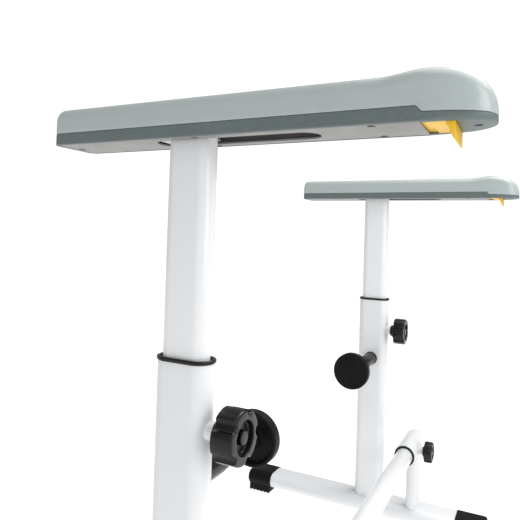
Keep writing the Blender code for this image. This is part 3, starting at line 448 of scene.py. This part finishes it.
def lower_ring(y):
    """The lower shell's section: flat on top, its bottom edges rounded more in the nose."""
    half, high = half_width(y), parting(y) - SEAM
    rise = max(KEEL_START - y, 0)
    low = KEEL_RADIUS - math.sqrt(KEEL_RADIUS ** 2 - rise ** 2)
    bow = smooth((STEP_START - y) / (STEP_START - KEEL_START))
    edge = min(LOW_EDGE + (NOSE_EDGE - LOW_EDGE) * bow, 0.8 * (high - low), 0.8 * half)
    lip = min(0.0005, 0.2 * (high - low))
    corner = [(-half + edge - edge * math.cos(a), low + edge - edge * math.sin(a))
              for a in (math.pi / 2 * k / 8 for k in range(9))]
    left = [(-half + lip, high), (-half, high - lip)] + corner
    return [(x, y, z) for x, z in left + [(-x, z) for x, z in reversed(left)]]


def block(name, low, high, at):
    """A plain cutter box between two corners, moved to a point."""
    points = [(low[0], low[1]), (high[0], low[1]), (high[0], high[1]), (low[0], high[1])]
    return solid(name, prism(points, low[2], high[2]), Matrix.Translation(at))


def lower_shell(name, at, body, node_name):
    """The dark lower shell: a skirt round the channel, and a boat-shaped nose."""
    piece = solid(name, skin([lower_ring(y) for y in stations()], caps=True), Matrix.Translation(at))
    pocket_half, room = CHANNEL_HALF + SEAM, 0.02
    pocket = block("pocket", (-pocket_half, RECESS_REAR - SEAM, -room),
                   (pocket_half, ARM_REAR - REAR_WALL, room), at)
    recess = block("recess", (-RECESS_HALF, RECESS_FRONT - SEAM, -room),
                   (RECESS_HALF, RECESS_REAR + 0.001, room), at)
    x, y, z = at
    hole = solid("hole", turned([(0, -room), (0.0034, -room), (0.0034, room), (0, room)], steps=36),
                 Matrix.Translation((x, NOSE_SCREW_Y, z)))
    cut(piece, pocket, recess, hole)
    return show(piece, "arm_lower", body, node_name)


def channel(name, at, body, node_name):
    """The folded steel channel, with the post slot, pin holes and screw holes."""
    bend, inner = CHANNEL_BEND, CHANNEL_HALF - CHANNEL_WALL
    folded = rounded([(-CHANNEL_HALF, 0, bend), (CHANNEL_HALF, 0, bend), (CHANNEL_HALF, CHANNEL_HEIGHT),
                      (inner, CHANNEL_HEIGHT), (inner, CHANNEL_WALL, bend - CHANNEL_WALL),
                      (-inner, CHANNEL_WALL, bend - CHANNEL_WALL), (-inner, CHANNEL_HEIGHT),
                      (-CHANNEL_HALF, CHANNEL_HEIGHT)], 6)
    upright = Matrix(((1, 0, 0, 0), (0, 0, -1, 0), (0, 1, 0, 0), (0, 0, 0, 1)))
    piece = solid(name, prism(folded, -(ARM_REAR - REAR_WALL - SEAM), -RECESS_REAR),
                  Matrix.Translation(at) @ upright)
    x, y, z = at
    middle, straight = (SLOT_FRONT + SLOT_REAR) / 2, SLOT_REAR - SLOT_FRONT - 2 * SLOT_HALF
    slot_section = [(0, -0.005), (SLOT_HALF, -0.005), (SLOT_HALF, 0.005), (0, 0.005)]
    cutters = [solid("slot", turned(slot_section, straight, 48), Matrix.Translation((x, middle, z)))]
    pin = [(0, -0.04), (PIN_HOLE / 2, -0.04), (PIN_HOLE / 2, 0.04), (0, 0.04)]
    cutters.append(solid("pin", turned(pin, steps=32), along((1, 0, 0), (x, PIVOT_Y, z + PIVOT_Z))))
    hole = [(0, -0.005), (SCREW_HOLE / 2, -0.005), (SCREW_HOLE / 2, 0.005), (0, 0.005)]
    for sx, sy in SCREW_PLACES:
        cutters.append(solid("hole", turned(hole, steps=32), Matrix.Translation((x + sx, sy, z))))
    cut(piece, *cutters)
    return show(piece, "channel_paint", body, node_name)


def trigger(name, at, body, node_name):
    """The yellow finger trigger: flush plate, tongue over the channel, lug up to the rod, and tab."""
    low, high = TONGUE
    front, rear, flush = RECESS_FRONT + SEAM, RECESS_REAR + 0.0035, RECESS_REAR - 0.0075
    side = [(rear, low, 0.0004), (rear, high, 0.0006), (LUG_REAR, high, 0.0008),
            (LUG_REAR, LUG_TOP, 0.0006), (LUG_REAR - LUG_LENGTH, LUG_TOP, 0.0006),
            (LUG_REAR - LUG_LENGTH, high, 0.0008), (front, high, 0.0006), (front, -TAB_DROP, 0.0004),
            (front + 0.001, -TAB_DROP, 0.0004), (front + TAB_BASE, SEAM, 0.0018),
            (flush, SEAM, 0.0005), (flush, low, 0.0003)]
    piece = solid(name, prism(rounded(side, 4), -TRIGGER_HALF, TRIGGER_HALF),
                  Matrix.Translation(at) @ SIDE_VIEW)
    beyond = TRIGGER_HALF + 0.001
    trims = [block("trim", (a, front - 0.001, high), (b, rear + 0.001, 0.02), at)
             for a, b in ((-beyond, -LUG_HALF), (LUG_HALF, beyond))]
    cut(piece, *trims)
    soften(piece, 0.0004, 3, 50)
    return show(piece, "trigger", body, node_name)


def arm(side, x, z):
    """One armrest: shells, channel, trigger, screws and the spring of its latch."""
    at, body = (x, 0, z), side + "_arm"
    upper_shell(side + "_upper_shell", at, body, side + "_arm_shell")
    lower_shell(side + "_lower_shell", at, body, side + "_arm_lower")
    channel(side + "_channel", at, body, side + "_arm_channel")
    trigger(side + "_trigger", at, side + "_latch", side + "_release_trigger")
    screw(side + "_nose_cross_screw", (x, NOSE_SCREW_Y, z + 0.0022), "zinc_steel", body,
          side + "_nose_screw")
    for i, (sx, sy) in enumerate(SCREW_PLACES):
        place = (x + sx, sy, z + SCREW_DEPTH)
        screw(f"{side}_shell_screw_{i}", place, "zinc_steel", body)
        pillar = turned(rounded([(0.0017, 0.0068), (0.0038, 0.0068, 0.0004), (0.0042, 0.030),
                                 (0.0017, 0.030)]), steps=32)
        show(solid(f"{side}_screw_pillar_{i}", pillar, Matrix.Translation((x + sx, sy, z))),
             "arm_lower", body)
    coil(side, x)


def coil(side, x):
    """The latch's return spring between the rod's collar and the guide, built at one fixed length."""
    low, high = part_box(side + "_latch_spring")
    wire, turns, steps = 0.00045, 5, 28
    radius = (high.x - low.x) / 2 - wire
    centre = Vector((x, 0, (low.z + high.z) / 2))
    count, length = turns * steps, high.y - low.y - 2 * wire
    path = []
    for i in range(count + 1):
        a, share = math.tau * i / steps, i / count
        pitch = share + 0.035 * math.sin(math.tau * share)
        path.append(centre + Vector((radius * math.cos(a), low.y + wire + length * pitch,
                                     radius * math.sin(a))))
    rings = []
    for i, point in enumerate(path):
        tangent = (path[min(i + 1, count)] - path[max(i - 1, 0)]).normalized()
        inward = (centre + Vector((0, point.y, 0)) - point).normalized()
        other = tangent.cross(inward)
        rings.append([point + (inward * math.cos(b) + other * math.sin(b)) * wire
                      for b in (math.tau * k / 10 for k in range(10))])
    spring = show(solid(side + "_return_spring", skin(rings, caps=True)), "zinc_steel", side + "_arm",
                  side + "_latch_spring")
    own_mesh(spring)


# ---- posts, rails and sockets ---------------------------------------------------------------
def tube(name, outer, wall, straight, low, high, place, body, *nodes, edge=0.0004, steps=72):
    """A round or oval tube with softened rims."""
    loop = [(outer, low, edge), (outer, high, edge), (outer - wall, high, edge), (outer - wall, low, edge)]
    return show(solid(name, turned(rounded(loop, 3), straight, steps), place), "white_paint", body, *nodes)


def boss(name, radius, base, at, body):
    """A welded boss round a clamp stud, pointing to the front, with its bore."""
    bore = STUD_RADIUS + SEAM
    section = rounded([(bore, 0), (radius, 0), (radius, base + BOSS_LENGTH, 0.0009),
                       (bore, base + BOSS_LENGTH, 0.0004)], 4)
    return show(solid(name, turned(section, steps=48), along((0, -1, 0), at)), "white_paint", body)


def posts(side, x, body):
    """Outer post, its collar, and the inner post that slides in it."""
    low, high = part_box(side + "_outer_post")
    radius, depth = (high.x - low.x) / 2, high.y
    straight = 2 * (depth - radius)
    tube(side + "_lower_post", radius, TUBE_WALL, straight, low.z, high.z, Matrix.Translation((x, 0, 0)),
         body, side + "_outer_post")
    boss(side + "_height_boss", BOSS_RADIUS, 0.002, (x, -depth + 0.002, HEIGHT_KNOB_Z), body)
    ring = [(x + math.cos(a) * (radius + 0.0004), math.sin(a) * (radius + 0.0004)
             + math.copysign(straight / 2, math.sin(a)), low.z + 0.0006)
            for a in (math.tau * (k + 0.5) / 96 for k in range(96))]
    bead(side + "_post_weld", ring, body)

    c_low, c_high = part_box(side + "_post_collar")
    i_low, i_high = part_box(side + "_inner_post")
    inner = (i_high.x - i_low.x) / 2
    lip, bore = (c_high.x - c_low.x) / 2, inner + SEAM
    sleeve = radius - TUBE_WALL - SEAM
    section = rounded([(bore, c_low.z, 0.0004), (sleeve, c_low.z, 0.0004), (sleeve, high.z + 0.0003),
                       (lip, high.z + 0.0003, 0.0008), (lip, c_high.z, 0.0021),
                       (bore + 0.0011, c_high.z, 0.0007), (bore, c_high.z - 0.0016, 0.0008)], 6)
    show(solid(side + "_collar", turned(section, straight, 96), Matrix.Translation((x, 0, 0))),
         "black_plastic", body, side + "_post_collar")
    tube(side + "_upper_post", inner, TUBE_WALL, 2 * (i_high.y - inner), i_low.z, i_high.z,
         Matrix.Translation((x, 0, 0)), side + "_lift", side + "_inner_post")


def rail(side, x, body):
    """The floor rail, its two rubber feet, and the riser with its weld beads."""
    low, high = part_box(side + "_base_rail")
    radius = (high.z - low.z) / 2
    straight = high.x - low.x - 2 * radius
    centre_z = (high.z + low.z) / 2
    place = Matrix.Translation((x, 0, centre_z)) @ RAIL_VIEW
    tube(side + "_floor_rail", radius, RAIL_WALL, straight, low.y, high.y, place, body, side + "_base_rail")
    for which, way in (("front", -1), ("rear", 1)):
        name = f"{side}_{which}_foot"
        f_low, f_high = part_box(name)
        end, open_end = (f_low.y, f_high.y) if way < 0 else (f_high.y, f_low.y)
        cap_radius = f_high.z - centre_z
        section = rounded([(0, end), (cap_radius, end, 0.006), (cap_radius, open_end, 0.0007),
                           (0, open_end)], 8, closed=False)
        show(solid(name + "_cap", turned(section, straight, 72), place), "black_rubber", body, name)
        inset, groove = 0.004, 0.0016
        count = 5
        y0, y1 = f_low.y + inset, f_high.y - inset
        pitch = (y1 - y0) / (2 * count + 1)
        profile = [(y1, centre_z - 0.008), (y0, centre_z - 0.008), (y0, 0, 0.0012)]
        for i in range(count):
            start = y0 + pitch * (2 * i + 1)
            profile += [(start, 0, 0.0004), (start, groove), (start + pitch, groove),
                        (start + pitch, 0, 0.0004)]
        profile.append((y1, 0, 0.0012))
        half = straight / 2 + radius * 0.75
        sole = solid(name + "_sole", prism(rounded(profile, 3), -half, half),
                     Matrix.Translation((x, 0, 0)) @ SIDE_VIEW)
        soften(sole, 0.0008, 3, 60)
        show(sole, "black_rubber", body)

    r_low, r_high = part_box(side + "_riser")
    s_low, s_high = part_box(side + "_cross_socket")
    pipe = (r_high.x - r_low.x) / 2
    px, py = (r_high.x + r_low.x) / 2, (r_high.y + r_low.y) / 2
    socket_radius, socket_z = (s_high.z - s_low.z) / 2, (s_high.z + s_low.z) / 2
    upright = tube(side + "_riser_pipe", pipe, TUBE_WALL, 0, centre_z, socket_z - socket_radius / 2,
                   Matrix.Translation((px, py, 0)), body, side + "_riser")
    cope_radius, reach = socket_radius - 0.0004, 0.05
    cope = [(0, -reach), (cope_radius, -reach), (cope_radius, reach), (0, reach)]
    cut(upright, solid("cope", turned(cope, steps=96), along((1, 0, 0), (px, py, socket_z))))
    angles = [math.tau * k / 72 for k in range(72)]
    foot, head = [], []
    for a in angles:
        bx, by = px + pipe * math.cos(a), py + pipe * math.sin(a)
        past = max(abs(bx - x) - straight / 2, 0)
        foot.append((bx, by, centre_z + math.sqrt(max(radius ** 2 - past ** 2, 0))))
        head.append((bx, by, socket_z - math.sqrt(socket_radius ** 2 - (pipe * math.sin(a)) ** 2)))
    bead(side + "_riser_weld", foot, body)
    bead(side + "_socket_weld", head, body)


def socket(side, sign, body):
    """The round socket, its bush and the boss for its clamp."""
    low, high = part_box(side + "_cross_socket")
    radius, z = (high.z - low.z) / 2, (high.z + low.z) / 2
    y = high.y - radius
    mouth = low.x if sign > 0 else high.x
    length = high.x - low.x
    wall, shut = 0.0018, 0.003
    section = rounded([(0, length), (radius, length, 0.0045), (radius, 0, 0.0007),
                       (radius - wall, 0, 0.0006), (radius - wall, length - shut, 0.003),
                       (0, length - shut)], 7, closed=False)
    place = along((sign, 0, 0), (mouth, y, z))
    show(solid(side + "_tube_socket", turned(section, steps=96), place), "white_paint", body,
         side + "_cross_socket")
    b_low, b_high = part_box(side + "_socket_bush")
    lip, t_high = (b_high.z - b_low.z) / 2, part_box("cross_tube")[1]
    bore, flange = t_high.z - z + SEAM, 0.004
    depth = b_high.x - b_low.x - flange
    section = rounded([(bore, depth, 0.0003), (radius - wall - 0.0003, depth, 0.0006),
                       (radius - wall - 0.0003, -0.0003), (lip, -0.0003, 0.0006),
                       (lip, -flange, 0.0014), (bore, -flange, 0.0007)], 5)
    show(solid(side + "_tube_bush", turned(section, steps=96), place), "black_plastic", body,
         side + "_socket_bush")
    boss(side + "_width_boss", WIDTH_BOSS_RADIUS, 0.004, (sign * WIDTH_KNOB_X, y - radius + 0.004, z), body)


# ---- knobs and pads -------------------------------------------------------------------------
def thread(radius, pitch, start, end):
    """Radius change for a screw thread between two heights on a turned rod."""
    def wave(angle, out, height):
        if abs(out - radius) > 1e-6 or not start < height < end:
            return out
        turn = (height / pitch - angle / math.tau) % 1.0
        return out - THREAD_DEPTH * (1 - abs(2 * turn - 1))
    return wave


def rod(radius, low, high, step):
    """The section of a plain rod with enough rings to carry a thread."""
    count = int((high - low) / step)
    return [(radius, low + (high - low) * i / count) for i in range(count + 1)]


def lobe(radius, notch):
    """Radius change that hollows the grip between its lobes and leaves the recess round."""
    centre, blend = radius + notch * 0.35, 0.0009

    def wave(angle, out, height):
        if out < 0.72 * radius:
            return out
        sector = math.tau / LOBES
        off = (angle + sector / 2) % sector - sector / 2
        across = centre * math.sin(off)
        if abs(across) >= notch * 0.9999:
            return out
        dip = centre * math.cos(off) - math.sqrt(notch ** 2 - across ** 2)
        near = max(blend - abs(dip - radius), 0) / blend
        return out - radius + min(dip, radius) - near * near * blend / 4
    return wave


def grip_knob(name, sizes, at, reach, body, node_name):
    """A lobed grip with a recessed face and hub, on its neck and its threaded stud."""
    radius, depth, notch, neck, neck_radius, edge = sizes
    hub, dish, top = radius * 0.26, radius * 0.60, neck + depth
    section = rounded([(0, top - 0.0006), (hub, top - 0.0008, 0.0012), (hub, top - KNOB_DISH, 0.0010),
                       (dish, top - KNOB_DISH, 0.0016), (dish + 0.0008, top, 0.0008),
                       (radius, top - 0.0004, edge), (radius + 0.0001, neck, 0.0014),
                       (neck_radius, neck, 0.0006), (neck_radius, 0, 0.0005), (0, 0)], 6, closed=False)
    grip = solid(name, turned(section, steps=320, wave=lobe(radius, notch)), along((0, -1, 0), at))
    show(grip, "black_plastic", body, node_name)
    stud = [(0, -reach), (STUD_RADIUS - 0.0006, -reach)]
    stud += rod(STUD_RADIUS, 0.0006 - reach, 0.002, 0.00016) + [(0, 0.002)]
    bolt = turned(stud, steps=48, wave=thread(STUD_RADIUS, THREAD_PITCH, -reach, 0.002))
    show(solid(name + "_stud", bolt, along((0, -1, 0), at)), "zinc_steel", body)


def bowl_pad(side, sign):
    """The rubber disc that meets the bowl, its hub, the spindle with its wheel, and the sleeve."""
    low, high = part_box(side + "_bowl_pad")
    radius, z = (high.z - low.z) / 2, (high.z + low.z) / 2
    face = low.x if sign > 0 else high.x
    place = along((sign, 0, 0), (face, 0, z))
    thick, floor, hub, hub_end, seat = 0.014, 0.008, 0.011, high.x - low.x, 0.0053
    front = [(0, 0.0006)]
    for r in (0.009, 0.016, 0.023):
        front += [(r, 0.0006, 0.0004), (r + 0.0008, 0.0014, 0.0004), (r + 0.0024, 0.0014, 0.0004),
                  (r + 0.0032, 0.0006, 0.0004)]
    section = front + [(radius - 0.005, 0.0006, 0.0006), (radius - 0.0042, 0, 0.0006),
                       (radius, 0, 0.0026), (radius, thick, 0.0016), (radius - 0.0038, thick, 0.0015),
                       (radius - 0.0062, floor, 0.0020), (hub + 0.0008, floor, 0.0022),
                       (hub, hub_end, 0.0014), (seat, hub_end, 0.0005), (seat, 0.006), (0, 0.006)]
    show(solid(side + "_pad_disc", turned(rounded(section, 5, closed=False), steps=112), place),
         "black_rubber", side + "_pad", side + "_bowl_pad")

    s_low, s_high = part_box(side + "_pad_spindle")
    start, length = (s_low.x if sign > 0 else s_high.x), s_high.x - s_low.x
    wheel, rim, core, wide = 0.029, (s_high.z - s_low.z) / 2, 0.005, 0.008
    shaft = [(0, 0), (core - 0.0006, 0), (core, 0.0006), (core, wheel)]
    grip = rounded([(core, wheel), (rim, wheel, 0.0016), (rim, wheel + wide, 0.0016),
                    (core, wheel + wide)], 5, closed=False)
    screw_part = rod(core, wheel + wide + 0.0002, length - 0.001, 0.00022)
    section = shaft + grip + screw_part + [(core - 0.001, length), (0, length)]
    worm = thread(core, SPINDLE_PITCH, wheel + wide, length)

    def knurl(angle, out, height):
        if out > rim - 0.0012:
            return out - 0.0006 * (0.5 + 0.5 * math.cos(angle * 24)) ** 3
        return worm(angle, out, height)

    spindle = turned(section, steps=144, wave=knurl)
    show(solid(side + "_spindle", spindle, along((sign, 0, 0), (start, 0, z))), "zinc_steel",
         side + "_pad_screw", side + "_pad_spindle")

    p_low, p_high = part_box(side + "_pad_sleeve")
    outer, span = (p_high.z - p_low.z) / 2, p_high.x - p_low.x
    foot = p_high.x if sign > 0 else p_low.x
    section = rounded([(seat, 0), (outer + 0.0012, 0), (outer + 0.0012, 0.003, 0.0006),
                       (outer, 0.0042, 0.0008), (outer, span - 0.010, 0.0004),
                       (outer - 0.0008, span - 0.0096, 0.0004), (outer - 0.0008, span, 0.0016),
                       (seat, span, 0.0008)], 4)
    show(solid(side + "_sleeve", turned(section, steps=72), along((-sign, 0, 0), (foot, 0, z))),
         "black_plastic", side + "_frame", side + "_pad_sleeve")


# ---- build ----------------------------------------------------------------------------------
POST_X = (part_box("left_outer_post")[0].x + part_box("left_outer_post")[1].x) / 2
ARM_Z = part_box("left_arm_channel")[0].z

for side, sign in SIDES:
    x, body = sign * POST_X, side + "_frame"
    rail(side, x, body)
    posts(side, x, body)
    socket(side, sign, body)
    bowl_pad(side, sign)
    arm(side, x, ARM_Z)
    post_front = -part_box(side + "_outer_post")[1].y
    back = post_front - BOSS_LENGTH - SEAM
    stop = -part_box(side + "_inner_post")[1].y - SEAM
    grip_knob(side + "_height_grip", HEIGHT_KNOB, (x, back, HEIGHT_KNOB_Z), stop - back,
              side + "_height_clamp", side + "_height_knob")
    s_low, s_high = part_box(side + "_cross_socket")
    socket_z, socket_radius = (s_low.z + s_high.z) / 2, (s_high.z - s_low.z) / 2
    socket_y = s_high.y - socket_radius
    back = socket_y - socket_radius - BOSS_LENGTH - SEAM
    tube_radius = (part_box("cross_tube")[1].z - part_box("cross_tube")[0].z) / 2
    grip_knob(side + "_width_grip", WIDTH_KNOB, (sign * WIDTH_KNOB_X, back, socket_z),
              socket_y - tube_radius - SEAM - back, side + "_width_clamp", side + "_width_knob")
    for part, look, edge in (("post_head", "zinc_steel", 0.0006), ("latch_hook", "zinc_steel", 0.0004),
                             ("arm_rest_bar", "zinc_steel", 0.0006), ("rod_guide", "zinc_steel", 0.0005),
                             ("pull_rod", "zinc_steel", None), ("striker_pin", "zinc_steel", None),
                             ("pivot_pin", "zinc_steel", None),
                             ("pivot_bush_inboard", "nylon", 0.0003),
                             ("pivot_bush_outboard", "nylon", 0.0003)):
        keep(f"{side}_{part}", look, edge)

low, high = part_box("cross_tube")
tube("spacing_tube", (high.z - low.z) / 2, TUBE_WALL, 0, low.x, high.x,
     along((1, 0, 0), (0, (low.y + high.y) / 2, (low.z + high.z) / 2)), "cross_bar", "cross_tube",
     steps=96)


# ---- floor, light and camera ----------------------------------------------------------------
def floor():
    """A pale floor under the object."""
    bm = bmesh.new()
    reach = 12
    bm.faces.new([bm.verts.new((x, y, 0)) for x, y in ((-reach, -reach), (reach, -reach),
                                                       (reach, reach), (-reach, reach))])
    ground = solid("floor", bm)
    look = bpy.data.materials.new("floor")
    look.use_nodes = True
    surface = look.node_tree.nodes["Principled BSDF"]
    surface.inputs["Base Color"].default_value = (0.42, 0.42, 0.42, 1)
    surface.inputs["Roughness"].default_value = 0.7
    surface.inputs["Specular IOR Level"].default_value = 0.2
    surface.inputs["Emission Color"].default_value = (1, 1, 1, 1)
    surface.inputs["Emission Strength"].default_value = 0.88
    ground.data.materials.append(look)


def softbox(name, at, target, size, power, tone=(1, 1, 1)):
    """A square area light facing a point."""
    lamp = bpy.data.lights.new(name, "AREA")
    lamp.size = size
    lamp.energy = power
    lamp.color = tone
    made = bpy.data.objects.new(name, lamp)
    bpy.context.scene.collection.objects.link(made)
    made.location = at
    made.rotation_euler = (Vector(target) - Vector(at)).to_track_quat("-Z", "Y").to_euler()


def sky():
    """White surroundings: full white to the camera, softer as light."""
    world = bpy.data.worlds.new("studio")
    world.use_nodes = True
    tree = world.node_tree
    back = tree.nodes["Background"]
    back.inputs["Color"].default_value = (0.98, 0.99, 1.0, 1)
    seen = node(tree, "ShaderNodeLightPath").outputs["Is Camera Ray"]
    level = node(tree, "ShaderNodeMapRange", Value=seen, To_Min=0.42, To_Max=1.1)
    tree.links.new(level.outputs["Result"], back.inputs["Strength"])
    bpy.context.scene.world = world


def camera():
    """The camera: outside the right armrest, a little below it, turned towards the left one."""
    yaw, pitch, roll = math.radians(26.065), math.radians(1.015), math.radians(1.884)
    ahead = Vector((math.cos(yaw) * math.cos(pitch), math.sin(yaw) * math.cos(pitch), math.sin(pitch)))
    right = Vector((math.sin(yaw), -math.cos(yaw), 0))
    up = right.cross(ahead)
    across = right * math.cos(roll) + up * math.sin(roll)
    upward = up * math.cos(roll) - right * math.sin(roll)
    made = bpy.data.objects.new("camera", bpy.data.cameras.new("camera"))
    bpy.context.scene.collection.objects.link(made)
    place = Matrix((across, upward, -ahead)).transposed().to_4x4()
    place.translation = (-0.7636, -0.2970, ARM_Z - 0.0910)
    made.matrix_world = place
    made.data.sensor_width = 36
    made.data.lens = 36.8
    made.data.shift_x = -0.0258
    made.data.shift_y = -0.0578
    made.data.clip_start = 0.02
    bpy.context.scene.camera = made


bpy.context.scene.view_settings.view_transform = "Standard"
floor()
sky()
softbox("overhead", (0.2, -0.7, 2.3), (0, 0, 0.5), 2.2, 34)
softbox("key", (0.7, -0.6, 1.9), (-0.3, -0.2, 0.68), 0.5, 11)
softbox("front", (-0.8, -2.0, 1.2), (-0.1, -0.1, 0.6), 1.2, 18)
softbox("side", (-2.2, -0.2, 1.2), (0, 0, 0.4), 1.4, 3)
camera()
